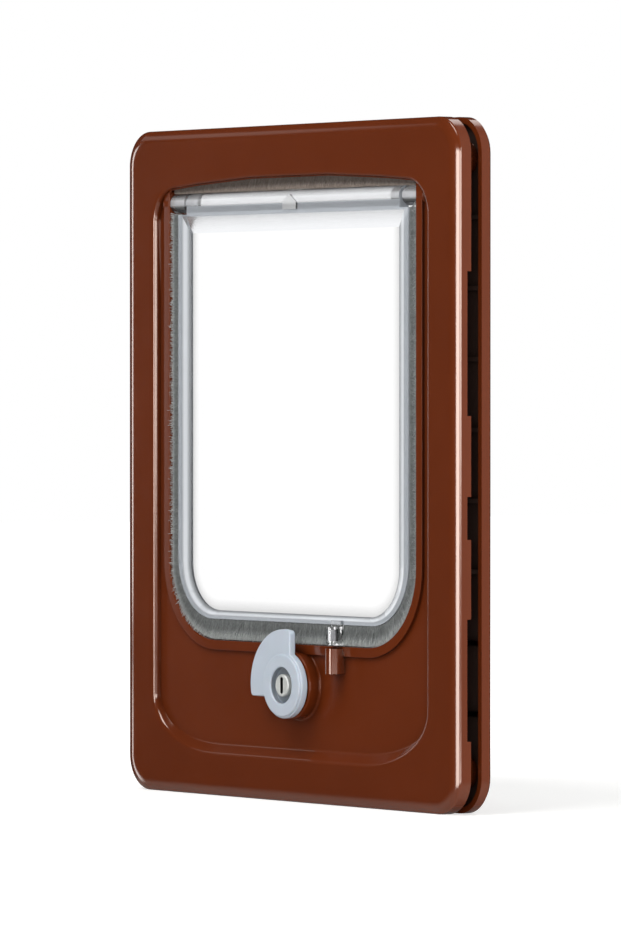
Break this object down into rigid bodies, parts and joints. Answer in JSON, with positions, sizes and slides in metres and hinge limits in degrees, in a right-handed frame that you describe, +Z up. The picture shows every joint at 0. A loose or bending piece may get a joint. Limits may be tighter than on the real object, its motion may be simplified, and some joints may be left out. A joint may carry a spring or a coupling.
{
  "type": "cat flap",
  "caption": "Framed pet door insert with a clear swinging flap, brush draught seal, magnetic closing and a turning latch, clamped on both sides of a door panel.",
  "frame": {"origin": "middle of the door cut-out, on the room-side face of the door", "axes": "+Z up, +Y through the door away from the room, +X to the right as seen from the room"},
  "size_m": [0.198, 0.021, 0.236],
  "materials": {
    "brown_plastic": "moulded gloss",
    "clear_plastic": "clear moulded",
    "grey_pile": "brush pile",
    "latch_plastic": "moulded satin",
    "steel": "bright zinc plated",
    "magnet_plating": "nickel plated"
  },
  "bodies": {
    "frame": {"front_frame": "brown_plastic", "rear_frame": "brown_plastic", "head_seal": "grey_pile", "hinge_bush_left": "clear_plastic", "hinge_bush_right": "clear_plastic", "latch_washer": "steel", "latch_screw": "steel", "frame_magnet": "magnet_plating", "frame_screws": "steel"},
    "flap": {"flap": "clear_plastic", "brush_strip": "grey_pile", "hinge_rod": "clear_plastic", "flap_magnet": "magnet_plating"},
    "latch": {"latch": "latch_plastic"}
  },
  "joints": [
    {"name": "flap_swing", "type": "hinge", "parent": "frame", "child": "flap", "pos_m": [0, -0.001, 0.0919], "axis": [1, 0, 0], "range_deg": [0, 85]},
    {"name": "latch_turn", "type": "hinge", "parent": "frame", "child": "latch", "pos_m": [0.005, -0.0088, -0.0771], "axis": [0, -1, 0], "range_deg": [0, 180]}
  ]
}
